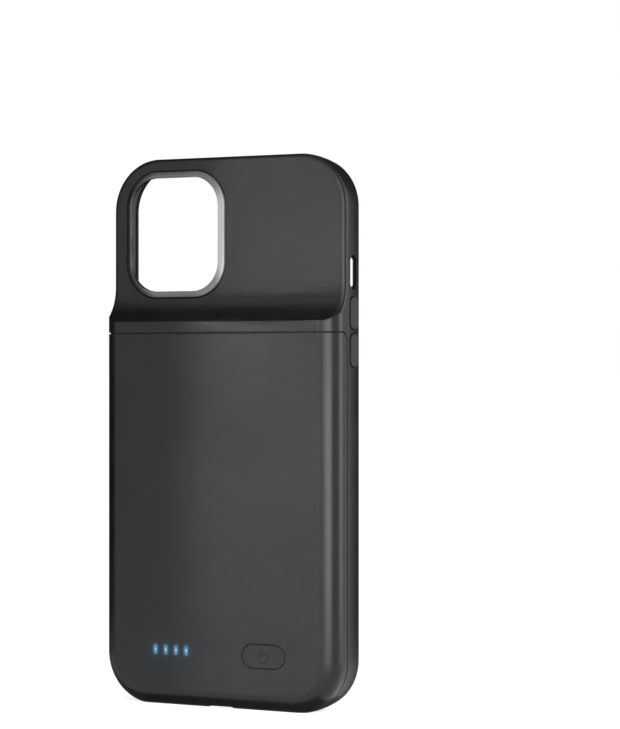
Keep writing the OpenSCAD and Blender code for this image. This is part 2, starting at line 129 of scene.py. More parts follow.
def blend_colours(tree, mask, first, second):
    made = add(tree, "Mix", data_type="RGBA")
    plug(tree, mask, made.inputs[0])
    plug(tree, first, made.inputs[6])
    plug(tree, second, made.inputs[7])
    return made.outputs[2]


def grey(level, tint=(1.0, 1.0, 1.0)):
    """A screen grey from 0 to 255, as the linear colour that a shader wants."""
    value = level / 255.0
    value = ((value + 0.055) / 1.055) ** 2.4
    return tuple(value * part for part in tint)


print("screen grey 70 is", round(grey(70)[0], 4), "in linear light")

# %% [markdown]
# ## Effects that several finishes share
#
# Moulded plastic, rubber and metal differ in colour and gloss, but they share some effects: a fine grain
# from the mould, patches where it has been handled, and edges that are smoother and carry a painted
# highlight. Each is one node group with named inputs, built once, so a change in it reaches all the
# finishes.

# %% Start a node group
def start_group(name, inputs, outputs):
    tree = bpy.data.node_groups.new(name, "ShaderNodeTree")
    for label, value in inputs.items():
        socket = tree.interface.new_socket(label, in_out="INPUT", socket_type="NodeSocketFloat")
        socket.default_value = value
    for label, kind in outputs.items():
        tree.interface.new_socket(label, in_out="OUTPUT", socket_type="NodeSocket" + kind)
    return tree, tree.nodes.new("NodeGroupInput").outputs, tree.nodes.new("NodeGroupOutput").inputs


# %% [markdown]
# The grain of a spark-eroded mould is a carpet of tiny round pits, a fifth of a millimetre apart. A noise
# texture gives them, and a second, slower noise makes the patches in which the surface is a little
# smoother. The group gives out a height for a bump and a roughness that drifts between two values.

# %% Group: moulded grain
def make_grain_group():
    tree, given, out = start_group(
        "moulded grain",
        {"Grain per mm": 5.0, "Patches per m": 70.0, "Smooth": 0.4, "Rough": 0.5},
        {"Height": "Float", "Roughness": "Float", "Patch": "Float"})
    place = add(tree, "TexCoord").outputs["Object"]
    fine = maths(tree, "MULTIPLY", given["Grain per mm"], 1000.0)
    pits = add(tree, "TexNoise", {"Vector": place, "Scale": fine, "Detail": 2.0, "Roughness": 0.55})
    drift = add(tree, "TexNoise", {"Vector": place, "Scale": given["Patches per m"], "Detail": 4.0,
                                   "Roughness": 0.6, "Distortion": 0.6})
    patch = fade(tree, drift.outputs[0], 0.38, 0.62)
    spread = maths(tree, "SUBTRACT", given["Rough"], given["Smooth"])
    even = maths(tree, "ADD", given["Smooth"], maths(tree, "MULTIPLY", patch, spread))
    ripple = maths(tree, "MULTIPLY", maths(tree, "SUBTRACT", pits.outputs[0], 0.5), 0.08)
    plug(tree, pits.outputs[0], out["Height"])
    plug(tree, maths(tree, "ADD", even, ripple), out["Roughness"])
    plug(tree, patch, out["Patch"])
    return tree


grain_group = make_grain_group()
print(grain_group.name, "has", len(grain_group.nodes), "nodes")

# %% [markdown]
# An edge is where the surface turns within a fraction of a millimetre. The Bevel node finds it: it looks at
# the surface round each point and averages the directions. Where that average differs from the point's own
# direction, there is an edge. The group gives the softened direction too, so that crisp model edges catch a
# thin highlight. The finishes also lighten their colour where the Edge mask is high, which is a painted
# highlight, and make the gloss smoother there.

# %% Group: smoother edges and painted highlight
def make_edge_group():
    tree, given, out = start_group(
        "smoother edges and painted highlight", {"Width": 0.0004, "Break up per m": 900.0}, {"Edge": "Float", "Normal": "Vector"})
    soft = add(tree, "Bevel", {"Radius": given["Width"]}, samples=4).outputs[0]
    own = add(tree, "NewGeometry").outputs["Normal"]
    same = add(tree, "VectorMath", operation="DOT_PRODUCT")
    plug(tree, soft, same.inputs[0])
    plug(tree, own, same.inputs[1])
    turn = fade(tree, same.outputs["Value"], 0.999, 0.93)
    place = add(tree, "TexCoord").outputs["Object"]
    edge_break_up = add(tree, "TexNoise", {"Vector": place, "Scale": given["Break up per m"], "Detail": 3.0})
    broken = fade(tree, edge_break_up.outputs[0], 0.32, 0.6, 0.35, 1.0)
    plug(tree, maths(tree, "MULTIPLY", turn, broken), out["Edge"])
    plug(tree, soft, out["Normal"])
    return tree


edge_group = make_edge_group()
print(edge_group.name, "has", len(edge_group.nodes), "nodes")

# %% [markdown]
# Handling leaves a matt skin with faint dust in it, and a few hair-fine scuffs. Dust is a sparse,
# high-contrast noise. Scuffs are a noise that is stretched along one way, with only its peaks kept. A slow
# third noise says where either of them lies.

# %% Group: dust and scuffs
def make_dust_group():
    tree, given, out = start_group(
        "dust and scuffs",
        {"Specks per m": 1800.0, "Scuffs per m": 160.0},
        {"Dust": "Float", "Scuff": "Float"})
    place = add(tree, "TexCoord").outputs["Object"]
    specks = add(tree, "TexNoise", {"Vector": place, "Scale": given["Specks per m"], "Detail": 1.0})
    where = add(tree, "TexNoise", {"Vector": place, "Scale": 30.0, "Detail": 3.0})
    dusty = fade(tree, where.outputs[0], 0.45, 0.7)
    dust = maths(tree, "MULTIPLY", fade(tree, specks.outputs[0], 0.68, 0.8), dusty)
    stretched = add(tree, "Mapping", {"Vector": place, "Rotation": (0.35, 0.5, 0.8),
                                      "Scale": (1.0, 1.0, 0.06)})
    lines = add(tree, "TexNoise", {"Vector": stretched.outputs[0], "Scale": given["Scuffs per m"],
                                   "Detail": 5.0, "Roughness": 0.8})
    handled = fade(tree, where.outputs[0], 0.6, 0.4)
    scuff = maths(tree, "MULTIPLY", fade(tree, lines.outputs[0], 0.62, 0.7), handled)
    plug(tree, dust, out["Dust"])
    plug(tree, scuff, out["Scuff"])
    return tree


dust_group = make_dust_group()
print(dust_group.name, "has", len(dust_group.nodes), "nodes")

# %% [markdown]
# Grooves collect what edges lose. The Ambient Occlusion node measures how closed in a point is within a
# short distance. In a narrow groove the lacquer stays rough and dusty, so grooves and engraved marks read
# dark.

# %% Group: grime in grooves
def make_groove_group():
    tree, given, out = start_group("grime in grooves", {"Reach": 0.0005}, {"Grime": "Float"})
    closed = add(tree, "AmbientOcclusion", {"Distance": given["Reach"]}, samples=6)
    plug(tree, fade(tree, closed.outputs["AO"], 0.97, 0.68), out["Grime"])
    return tree


groove_group = make_groove_group()
print(groove_group.name, "has", len(groove_group.nodes), "nodes")

# %% [markdown]
# ## Soft-touch plastic
#
# The shell is a polycarbonate moulding with a thin rubbery lacquer: nearly black, a touch green-blue, and
# broad in its highlights. The lacquer's gloss drifts a little where hands have polished it. Along the edges
# it is smoother, and its colour is lighter there: a painted highlight. The keys, the button and the plain
# black plastic inside are the same kind of finish with other numbers, so one function makes them all.

# %% Function: a moulded plastic
def new_material(name):
    material = bpy.data.materials.new(name)
    material.use_nodes = True
    tree = material.node_tree
    tree.nodes.clear()
    shader = tree.nodes.new("ShaderNodeBsdfPrincipled")
    output = tree.nodes.new("ShaderNodeOutputMaterial")
    tree.links.new(shader.outputs[0], output.inputs["Surface"])
    return material, tree, shader


def use_group(tree, group, values):
    made = tree.nodes.new("ShaderNodeGroup")
    made.node_tree = group
    for name, value in values.items():
        made.inputs[name].default_value = value
    return made.outputs


def set_shader(shader, values):
    for name, value in values.items():
        socket = shader.inputs[name]
        socket.default_value = (*value, 1.0) if isinstance(value, tuple) and socket.type == "RGBA" else value


def bump_over(tree, height, under, depth_mm):
    made = add(tree, "Bump", {"Strength": 1.0, "Distance": depth_mm * MM, "Height": height, "Normal": under})
    return made.outputs[0]


DUST_COLOUR = grey(150)
EDGE_HIGHLIGHT_SHARE = 0.6
WORN_GLOSS = 0.02
GRIME_ROUGHNESS = 0.5


def moulded(name, dark, pale, edge, smooth, rough, gloss, grain=5.0, depth_mm=0.004, edge_mm=0.25,
            dust=0.05, tint=(1.0, 1.0, 1.0)):
    material, tree, shader = new_material(name)
    skin = use_group(tree, grain_group, {"Grain per mm": grain, "Smooth": smooth, "Rough": rough})
    rim = use_group(tree, edge_group, {"Width": edge_mm * MM})
    wear = use_group(tree, dust_group, {})
    grime = use_group(tree, groove_group, {})["Grime"]
    colour = blend_colours(tree, skin["Patch"], dark, pale)
    # Painted highlight: the colour turns lighter along the edges.
    colour = blend_colours(tree, maths(tree, "MULTIPLY", rim["Edge"], EDGE_HIGHLIGHT_SHARE), colour, edge)
    colour = blend_colours(tree, maths(tree, "MULTIPLY", wear["Dust"], dust), colour, DUST_COLOUR)
    plug(tree, colour, shader.inputs["Base Color"])
    worn = maths(tree, "MULTIPLY", maths(tree, "ADD", rim["Edge"], wear["Scuff"]), WORN_GLOSS)
    rough_skin = maths(tree, "ADD", maths(tree, "SUBTRACT", skin["Roughness"], worn),
                       maths(tree, "MULTIPLY", grime, GRIME_ROUGHNESS))
    plug(tree, rough_skin, shader.inputs["Roughness"])
    plug(tree, bump_over(tree, skin["Height"], rim["Normal"], depth_mm), shader.inputs["Normal"])
    set_shader(shader, {"Specular IOR Level": gloss, "Specular Tint": tint})
    return material, tree, shader


# %% [markdown]
# The tray's inside gets a rougher plastic finish and a much paler grey. The paler grey is painted light: it
# brightens the deep shade inside the tray. To find the inside, the group below asks whether a point lies
# within a rounded rectangle a hair larger than the tray, and between two depths: behind the lip, and half
# way through the thin back.

# %% Group: inside of the tray
def make_inside_group():
    tree, given, out = start_group(
        "inside of tray",
        {"Half width": 0.03, "Half height": 0.06, "Middle z": 0.06, "Corner": 0.01, "Back y": 0.0,
         "Front y": 0.01},
        {"Inside": "Float"})
    parts = object_parts(tree)
    over = []
    sides = (("X", 0.0, given["Half width"]), ("Z", given["Middle z"], given["Half height"]))
    for part, middle, half in sides:
        away = maths(tree, "ABSOLUTE", maths(tree, "SUBTRACT", parts[part], middle))
        beyond = maths(tree, "SUBTRACT", away, maths(tree, "SUBTRACT", half, given["Corner"]))
        over.append(maths(tree, "MAXIMUM", beyond, 0.0))
    within = maths(tree, "LESS_THAN", length_of(tree, *over), given["Corner"])
    behind = maths(tree, "LESS_THAN", parts["Y"], given["Front y"])
    before = maths(tree, "GREATER_THAN", parts["Y"], given["Back y"])
    plug(tree, maths(tree, "MULTIPLY", within, maths(tree, "MULTIPLY", behind, before)), out["Inside"])
    return tree


inside_group = make_inside_group()
print(inside_group.name, "has", len(inside_group.nodes), "nodes")

# %% [markdown]
# The shell wears the lacquer outside. Inside it is rougher, and painted a paler grey that brightens the
# shade there. The group's mask chooses between the two, for the colour and for the roughness. The rectangle
# is worked out from the frame's own box, less its walls.

# %% Material: the shell
SHELL_TINT = (0.94, 0.985, 1.0)
SHELL = {"smooth": 0.29, "rough": 0.33, "gloss": 0.36, "tint": SHELL_TINT}
shell_dark, shell_pale = grey(14, SHELL_TINT), grey(17, SHELL_TINT)
shell_edge_highlight = grey(40, SHELL_TINT)
soft_shell, shell_tree, shell_shader = moulded("soft_shell", shell_dark, shell_pale, shell_edge_highlight, **SHELL)
SIDE_WALL, TOP_WALL, CHIN, LIP = 1.4 * MM, 1.1 * MM, 3.9 * MM, 0.8 * MM
TRAY_CORNER, TRAY_DEPTH = 13.4 * MM, 8.75 * MM
frame_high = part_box("bumper_frame")[1]
tray_top = frame_high.z - TOP_WALL
inside = use_group(shell_tree, inside_group, {
    "Half width": frame_high.x - SIDE_WALL, "Half height": (tray_top - CHIN) / 2,
    "Middle z": (tray_top + CHIN) / 2, "Corner": TRAY_CORNER,
    "Back y": frame_high.y - TRAY_DEPTH, "Front y": frame_high.y - LIP})["Inside"]
bare = use_group(shell_tree, grain_group, {"Grain per mm": 3.0, "Smooth": 0.55, "Rough": 0.66})
inside_painted_fill_colour = blend_colours(shell_tree, bare["Patch"], grey(60), grey(66))
colour_socket, rough_socket = shell_shader.inputs["Base Color"], shell_shader.inputs["Roughness"]
outer_colour, outer_rough = colour_socket.links[0].from_socket, rough_socket.links[0].from_socket
# Painted light: inside the tray the colour turns to a much paler grey, which brightens the deep shade there.
plug(shell_tree, blend_colours(shell_tree, inside, outer_colour, inside_painted_fill_colour), colour_socket)
plug(shell_tree, fade(shell_tree, inside, 0.0, 1.0, outer_rough, bare["Roughness"]), rough_socket)
print("shell base, linear:", [round(part, 4) for part in shell_dark])
print("inside of tray up to", round(tray_top / MM, 1), "mm")

# %% [markdown]
# ## The battery cover, with its light showing through
#
# The cover is the same moulding, with four lights in it. Round each window it gets a painted blue-green
# glow, which stands in for the light that thin dark plastic passes. The mask for it needs only the case's
# own coordinates: fold the row of lights into one, measure the distance from its middle, and let it fade
# with that distance.

# %% Group: halo round a row of lights
light_boxes = [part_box(f"lens_{number}") for number in (1, 2, 3, 4)]
light_centres = [(low + high) / 2 for low, high in light_boxes]
light_pitch = (light_centres[3].x - light_centres[0].x) / 3
print("lights at", [round(centre.x / MM, 2) for centre in light_centres], "mm")
print("pitch", round(light_pitch / MM, 2), "mm")


def make_halo_group():
    tree, given, out = start_group(
        "halo round lights",
        {"First x": 0.0, "Pitch": 0.003, "Middle z": 0.0, "Reach": 0.003, "Height ratio": 1.5},
        {"Halo": "Float", "Near": "Float"})
    parts = object_parts(tree)
    along = maths(tree, "DIVIDE", maths(tree, "SUBTRACT", parts["X"], given["First x"]), given["Pitch"])
    index = maths(tree, "MINIMUM", maths(tree, "MAXIMUM", maths(tree, "ROUND", along), 0.0), 3.0)
    side = maths(tree, "MULTIPLY", maths(tree, "SUBTRACT", along, index), given["Pitch"])
    up = maths(tree, "DIVIDE", maths(tree, "SUBTRACT", parts["Z"], given["Middle z"]),
               given["Height ratio"])
    share = maths(tree, "DIVIDE", length_of(tree, side, up), given["Reach"])
    plug(tree, maths(tree, "POWER", fade(tree, share, 1.0, 0.0), 2.0), out["Halo"])
    plug(tree, fade(tree, share, 0.5, 0.2), out["Near"])
    return tree


halo_group = make_halo_group()
print(halo_group.name, "has", len(halo_group.nodes), "nodes")

# %% [markdown]
# The cover takes the shell's finish, and the halo goes to its emission colour: a painted glow. Right round a
# window the painted glow is brighter, as there the light would meet the plastic from the side.

# %% Material: battery cover
hump_shell, hump_tree, hump_shader = moulded("hump_shell", shell_dark, shell_pale, shell_edge_highlight, **SHELL)
halo = use_group(hump_tree, halo_group, {
    "First x": light_centres[0].x, "Pitch": light_pitch, "Middle z": light_centres[0].z, "Reach": 0.0032})
glow = blend_colours(hump_tree, halo["Near"], (0.004, 0.022, 0.045), (0.015, 0.07, 0.14))
glow = blend_colours(hump_tree, halo["Halo"], (0.0, 0.0, 0.0), glow)
# Painted glow: emission on the cover round each window.
plug(hump_tree, glow, hump_shader.inputs["Emission Color"])
set_shader(hump_shader, {"Emission Strength": 1.0})

# %% [markdown]
# ## The light windows
#
# Each window is a clear stud over a white light. From outside it reads as a bright, almost white core
# that turns blue towards the rim of the window. Generated coordinates run from 0 to 1 over each piece's
# own box, so one material fits all four windows.

# %% Material: lit window
def make_window():
    material, tree, shader = new_material("lit_window")
    parts = object_parts(tree, "Generated")
    side = maths(tree, "SUBTRACT", parts["X"], 0.5)
    up = maths(tree, "MULTIPLY", maths(tree, "SUBTRACT", parts["Z"], 0.5), 0.8)
    skin = use_group(tree, grain_group, {"Grain per mm": 8.0, "Smooth": 0.2, "Rough": 0.32})
    ramp = add(tree, "ValToRGB")
    ramp.color_ramp.interpolation = "EASE"
    stops = [(0.0, (0.62, 0.95, 1.0)), (0.08, (0.2, 0.55, 0.8)), (0.2, (0.02, 0.12, 0.25)),
             (0.48, (0.01, 0.05, 0.1))]
    while len(ramp.color_ramp.elements) < len(stops):
        ramp.color_ramp.elements.new(0.5)
    for element, (spot, colour) in zip(ramp.color_ramp.elements, stops):
        element.position = spot
        element.color = (*colour, 1.0)
    plug(tree, length_of(tree, side, up), ramp.inputs[0])
    plug(tree, ramp.outputs[0], shader.inputs["Emission Color"])
    glassy = blend_colours(tree, skin["Patch"], (0.02, 0.05, 0.07), (0.03, 0.07, 0.09))
    plug(tree, glassy, shader.inputs["Base Color"])
    plug(tree, skin["Roughness"], shader.inputs["Roughness"])
    face = add(tree, "NewGeometry").outputs["Normal"]
    plug(tree, bump_over(tree, skin["Height"], face, 0.002), shader.inputs["Normal"])
    set_shader(shader, {"Emission Strength": 1.0, "Coat Weight": 0.4, "Coat Roughness": 0.15})
    return material


lit_window = make_window()

# %% [markdown]
# ## The window ring and the other metals
#
# The ring round the window is aluminium, blasted with fine beads and anodised grey. Blasting leaves a
# grain finer than the plastic's, and anodising keeps it from shining like a mirror. Screws, plug and
# socket are bare or plated metal, with fine lines from drawing or turning instead: a noise that is
# squeezed along one axis gives those.

# %% Group: drawn lines
def make_lines_group():
    tree, given, out = start_group(
        "drawn lines", {"Lines per mm": 12.0, "Along x": 1.0, "Along z": 0.04}, {"Height": "Float"})
    squeeze = add(tree, "CombineXYZ", {"Y": 1.0})
    plug(tree, given["Along x"], squeeze.inputs["X"])
    plug(tree, given["Along z"], squeeze.inputs["Z"])
    place = add(tree, "VectorMath", operation="MULTIPLY")
    plug(tree, add(tree, "TexCoord").outputs["Object"], place.inputs[0])
    plug(tree, squeeze.outputs[0], place.inputs[1])
    lines = add(tree, "TexNoise", {"Detail": 3.0, "Roughness": 0.6})
    plug(tree, place.outputs[0], lines.inputs["Vector"])
    plug(tree, maths(tree, "MULTIPLY", given["Lines per mm"], 1000.0), lines.inputs["Scale"])
    plug(tree, lines.outputs[0], out["Height"])
    return tree


lines_group = make_lines_group()
print(lines_group.name, "has", len(lines_group.nodes), "nodes")

# %% [markdown]
# Every metal here has the same build: a grain, a painted highlight that lightens the rims and, where it was
# drawn or turned, fine lines. The function below takes the greys, the gloss and the lines as numbers, and
# each metal is one call.

# %% Function: a metal
METAL_GRAIN = {"Grain per mm": 11.0, "Patches per m": 90.0}
METAL_DEPTH_MM = 0.002


def metal(name, dark, pale, edge, smooth=0.28, rough=0.38, edge_mm=0.12, lines=0.0, along=(1.0, 0.04)):
    material, tree, shader = new_material(name)
    skin = use_group(tree, grain_group, {**METAL_GRAIN, "Smooth": smooth, "Rough": rough})
    rim = use_group(tree, edge_group, {"Width": edge_mm * MM})
    colour = blend_colours(tree, skin["Patch"], dark, pale)
    # Painted highlight: the colour turns paler along the rims.
    plug(tree, blend_colours(tree, rim["Edge"], colour, edge), shader.inputs["Base Color"])
    plug(tree, skin["Roughness"], shader.inputs["Roughness"])
    normal = bump_over(tree, skin["Height"], rim["Normal"], METAL_DEPTH_MM)
    if lines:
        drawn = use_group(tree, lines_group, {"Lines per mm": lines, "Along x": along[0],
                                              "Along z": along[1]})
        normal = bump_over(tree, drawn["Height"], normal, METAL_DEPTH_MM)
    plug(tree, normal, shader.inputs["Normal"])
    set_shader(shader, {"Metallic": 1.0})
    return material


ring_metal = metal("ring_metal", grey(110), grey(118), grey(126), smooth=0.3, rough=0.36, edge_mm=0.1)
screw_steel = metal("screw_steel", grey(150), grey(170), grey(215), lines=6.0, along=(1.0, 1.0))
plug_metal = metal("plug_metal", grey(165), grey(178), grey(222), smooth=0.2, rough=0.3, lines=9.0)
socket_metal = metal("socket_metal", grey(150), grey(165), grey(215), smooth=0.22, rough=0.34, lines=8.0)
switch_metal = metal("switch_metal", grey(155), grey(170), grey(215), lines=5.0, along=(0.04, 1.0))
contact_gold = metal("contact_gold", (0.75, 0.5, 0.17), (0.83, 0.58, 0.22), (0.95, 0.74, 0.36), smooth=0.2,
                     rough=0.28, lines=14.0)
metals = (ring_metal, screw_steel, plug_metal, socket_metal, switch_metal, contact_gold)
print("metals:", [material.name for material in metals])

# %% [markdown]
# ## Other plastics
#
# The button and the side keys are moulded in the shell's plastic, a shade off because they are small and
# get touched most. The plain black plastic inside has no lacquer, so it is a little glossier. The wires
# are PVC, smoother and softer still.

# %% Materials: keys, black plastic and wires
button_skin = moulded("button_skin", grey(15, SHELL_TINT), grey(19, SHELL_TINT), shell_edge_highlight, **SHELL)[0]
black_plastic = moulded("black_plastic", grey(30), grey(36), grey(70), smooth=0.35, rough=0.45, gloss=0.45,
                        grain=7.0)[0]
light_body = moulded("light_body", grey(205), grey(218), grey(235), smooth=0.3, rough=0.4, gloss=0.5,
                     dust=0.02)[0]
chip_epoxy = moulded("chip_epoxy", grey(28), grey(36), grey(80), smooth=0.5, rough=0.62, gloss=0.5,
                     grain=14.0, edge_mm=0.1)[0]
ceramic = moulded("ceramic", (0.42, 0.28, 0.17), (0.5, 0.34, 0.2), (0.62, 0.5, 0.36), smooth=0.35,
                  rough=0.5, gloss=0.5, grain=12.0, edge_mm=0.1)[0]
PVC = {"smooth": 0.3, "rough": 0.4, "gloss": 0.5, "grain": 3.0, "depth_mm": 0.006}
red_wire = moulded("red_wire", (0.42, 0.012, 0.01), (0.5, 0.02, 0.015), (0.6, 0.08, 0.06), **PVC)[0]
black_wire = moulded("black_wire", grey(24), grey(30), grey(60), **PVC)[0]
adhesive = moulded("adhesive", (0.62, 0.6, 0.52), (0.7, 0.68, 0.6), (0.78, 0.77, 0.72), smooth=0.3,
                   rough=0.5, gloss=0.5, grain=2.0, depth_mm=0.01)[0]
amber_film = moulded("amber_film", (0.42, 0.2, 0.03), (0.55, 0.29, 0.05), (0.68, 0.42, 0.12), smooth=0.12,
                     rough=0.24, gloss=0.6, grain=0.9, depth_mm=0.02)[0]
print("plastics made; the shell's gloss level is", SHELL["gloss"])

# %% [markdown]
# ## The cell's foil and the circuit board
#
# A pouch cell is wrapped in aluminium foil under clear nylon. The foil is never flat: it has soft
# creases, which a slow noise bump gives. A board is green lacquer over copper tracks. The tracks are
# raised and show paler, so one folded cell pattern drives both the colour and the bump.

# %% Materials: foil and board
cell_foil, _, foil_shader = moulded("cell_foil", grey(172), grey(188), grey(214), smooth=0.26, rough=0.4,
                                    gloss=0.5, grain=0.25, depth_mm=0.12, edge_mm=0.5)
set_shader(foil_shader, {"Metallic": 1.0})


def make_board():
    material, tree, shader = new_material("circuit_board")
    place = add(tree, "TexCoord").outputs["Object"]
    skin = use_group(tree, grain_group, {"Grain per mm": 6.0, "Smooth": 0.22, "Rough": 0.34})
    cells = add(tree, "TexVoronoi", {"Vector": place, "Scale": 420.0, "Randomness": 0.35},
                distance="MANHATTAN", feature="F1")
    track = fade(tree, maths(tree, "PINGPONG", cells.outputs["Distance"], 0.16), 0.085, 0.1)
    lacquer = blend_colours(tree, skin["Patch"], (0.004, 0.05, 0.022), (0.006, 0.065, 0.028))
    plug(tree, blend_colours(tree, track, lacquer, (0.02, 0.12, 0.05)), shader.inputs["Base Color"])
    plug(tree, skin["Roughness"], shader.inputs["Roughness"])
    height = maths(tree, "ADD", track, maths(tree, "MULTIPLY", skin["Height"], 0.1))
    face = add(tree, "NewGeometry").outputs["Normal"]
    plug(tree, bump_over(tree, height, face, 0.03), shader.inputs["Normal"])
    set_shader(shader, {"Coat Weight": 0.5, "Coat Roughness": 0.2})
    return material


circuit_board = make_board()
print("materials made:", len(bpy.data.materials))

# %% [markdown]
# ## Dress the pieces
#
# Each piece of the model keeps its shape and gets its finish in its own material slot. A table from piece
# to finish is the clearest record of who wears what.

# %% Give every piece its finish
FINISHES = {
    soft_shell: ["bumper_frame"],
    hump_shell: ["battery_cover"],
    ring_metal: ["camera_ring"],
    button_skin: ["power_button", "side_key", "volume_up_key", "volume_down_key"],
    lit_window: ["lens_1", "lens_2", "lens_3", "lens_4"],
    light_body: ["led_1", "led_2", "led_3", "led_4"],
    cell_foil: ["battery_cell"],
    adhesive: ["cell_sheet"],
    amber_film: ["cell_board", "plug_flex"],
    circuit_board: ["main_board"],
    screw_steel: ["board_screws"],
    chip_epoxy: ["control_chip", "charge_chip"],
    ceramic: ["power_coil", "capacitors"],
    socket_metal: ["charge_socket"],
    black_plastic: ["socket_tongue", "plug_base", "switch_stem"],
    plug_metal: ["phone_plug"],
    switch_metal: ["switch_body"],
    red_wire: ["red_lead"],
    black_wire: ["black_lead"],
}
for finish, pieces in FINISHES.items():
    for piece in pieces:
        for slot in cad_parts[piece].material_slots:
            slot.material = finish
dressed = sum(len(pieces) for pieces in FINISHES.values())
print("dressed", dressed, "of", len(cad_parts), "pieces")

# %% [markdown]
# ## The contacts
#
# The plug in the tray carries eight gold contacts on each flat side, and the tongue of the charging
# socket carries five. They are rounded pads, barely proud of what holds them. A pad is drawn as a rounded
# outline in mesh code, filled and extruded, and its edges are bevelled so that they catch the light.

# %% Build the contact pads
ARC_STEPS = 6
PAD_ROUNDING = 0.42
PAD_THICK = 0.03 * MM


def rounded_outline(width, height, radius):
    points = []
    for quarter in range(4):
        side_x = 1 if quarter in (0, 3) else -1
        side_z = 1 if quarter in (0, 1) else -1
        for step in range(ARC_STEPS + 1):
            angle = math.pi / 2 * (quarter + step / ARC_STEPS)
            points.append((side_x * (width / 2 - radius) + radius * math.cos(angle),
                           side_z * (height / 2 - radius) + radius * math.sin(angle)))
    return points


def piece_from(mesh, name, finish):
    """Turn drawn faces into an object with one finish, and put it in the scene."""
    data = bpy.data.meshes.new(name)
    mesh.to_mesh(data)
    mesh.free()
    data.materials.append(finish)
    piece = bpy.data.objects.new(name, data)
    bpy.context.scene.collection.objects.link(piece)
    return piece


def contact_row(name, count, pitch, width, face_y, outward, low_z, high_z):
    """Pads on a face at y = face_y; outward is +1 or -1, the way that the face looks."""
    mesh = bmesh.new()
    outline = rounded_outline(width, high_z - low_z, width * PAD_ROUNDING)
    root_y, middle_z = face_y - outward * PAD_THICK, (low_z + high_z) / 2
    for number in range(count):
        x = (number - (count - 1) / 2) * pitch
        ring = [mesh.verts.new((x + px, root_y, middle_z + pz)) for px, pz in outline]
        base = mesh.faces.new(ring)
        raised = bmesh.ops.extrude_face_region(mesh, geom=[base])["geom"]
        tops = [item for item in raised if isinstance(item, bmesh.types.BMVert)]
        bmesh.ops.translate(mesh, verts=tops, vec=(0.0, outward * PAD_THICK * 2, 0.0))
    bmesh.ops.recalc_face_normals(mesh, faces=mesh.faces)
    piece = piece_from(mesh, name, contact_gold)
    bevel = piece.modifiers.new("soft edges", "BEVEL")
    bevel.width = PAD_THICK * 0.6
    bevel.segments = 2
    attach(piece, "case")
    print(name, "has", count, "pads")


PLUG_PITCH, PLUG_PAD = 0.72 * MM, 0.42 * MM
SOCKET_PITCH, SOCKET_PAD = 0.65 * MM, 0.34 * MM

plug_low, plug_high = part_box("phone_plug")
plug_pads_low, plug_pads_high = plug_high.z - 5.2 * MM, plug_high.z - 1.4 * MM
plug_faces = (("plug_contacts_back", plug_low.y, -1), ("plug_contacts_front", plug_high.y, 1))
for name, face_y, outward in plug_faces:
    contact_row(name, 8, PLUG_PITCH, PLUG_PAD, face_y, outward, plug_pads_low, plug_pads_high)
tongue_low, tongue_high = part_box("socket_tongue")
contact_row("socket_contacts", 5, SOCKET_PITCH, SOCKET_PAD, tongue_low.y, -1, tongue_low.z + 0.6 * MM,
            tongue_high.z - 0.9 * MM)

# %% [markdown]
# ## The studio
#
# The floor is white card and the background is white too. The card's own colour is pale. The last step to
# pure white is a glow that only the camera and mirror-like rays see, so no extra light falls on the case,
# and its shadow on the floor stays.

# %% Floor
WHITE = (1.0, 1.0, 1.0)


def make_card(name, dark, pale, grain=1.0):
    material, tree, shader = new_material(name)
    skin = use_group(tree, grain_group, {"Grain per mm": grain, "Smooth": 0.8, "Rough": 0.95})
    plug(tree, blend_colours(tree, skin["Patch"], dark, pale), shader.inputs["Base Color"])
    plug(tree, skin["Roughness"], shader.inputs["Roughness"])
    return material, tree, shader


def choose_straight(tree, plain, straight):
    """One shader for the camera's own rays and for mirror-like and clear ones, another for the rest."""
    seen = add(tree, "LightPath").outputs
    either = maths(tree, "MAXIMUM", seen["Is Camera Ray"], seen["Is Glossy Ray"])
    choice = add(tree, "MixShader")
    plug(tree, maths(tree, "MAXIMUM", either, seen["Is Transmission Ray"]), choice.inputs[0])
    plug(tree, plain.outputs[0], choice.inputs[1])
    plug(tree, straight.outputs[0], choice.inputs[2])
    return choice.outputs[0]


def make_floor():
    material, tree, shader = make_card("white_card", (0.84, 0.84, 0.84), (0.87, 0.87, 0.87), grain=1.2)
    set_shader(shader, {"Specular IOR Level": 0.1})
    lift = add(tree, "Emission", {"Color": WHITE, "Strength": 0.72})
    both = add(tree, "AddShader")
    plug(tree, shader.outputs[0], both.inputs[0])
    plug(tree, lift.outputs[0], both.inputs[1])
    output = next(made for made in tree.nodes if made.type == "OUTPUT_MATERIAL")
    plug(tree, choose_straight(tree, shader, both), output.inputs["Surface"])
    return material


def flat_card(name, finish, corners):
    mesh = bmesh.new()
    mesh.faces.new([mesh.verts.new(corner) for corner in corners])
    card = piece_from(mesh, name, finish)
    return card


def level_corners(left, right, near, far, height):
    return [(left, near, height), (right, near, height), (right, far, height), (left, far, height)]


FLOOR = 30.0
flat_card("floor", make_floor(), level_corners(-FLOOR, FLOOR, -FLOOR, FLOOR, 0.0))
print("floor is", 2 * FLOOR, "m square")

# %% [markdown]
# The world gives the soft light of a white room. To the camera, and to whatever mirrors it, the room is
# plain white. To matt surfaces it is only as bright as a room is, so that colours come out as they were
# mixed.

# %% World
def make_world(level):
    world = bpy.data.worlds.new("white_room")
    world.use_nodes = True
    tree = world.node_tree
    tree.nodes.clear()
    room = add(tree, "Background", {"Color": WHITE, "Strength": level})
    white = add(tree, "Background", {"Color": WHITE, "Strength": 1.0})
    plug(tree, choose_straight(tree, room, white), add(tree, "OutputWorld").inputs["Surface"])
    bpy.context.scene.world = world


ROOM_LEVEL = 0.35
make_world(ROOM_LEVEL)
print("the room is", ROOM_LEVEL, "bright to matt surfaces and 1 to mirrors")

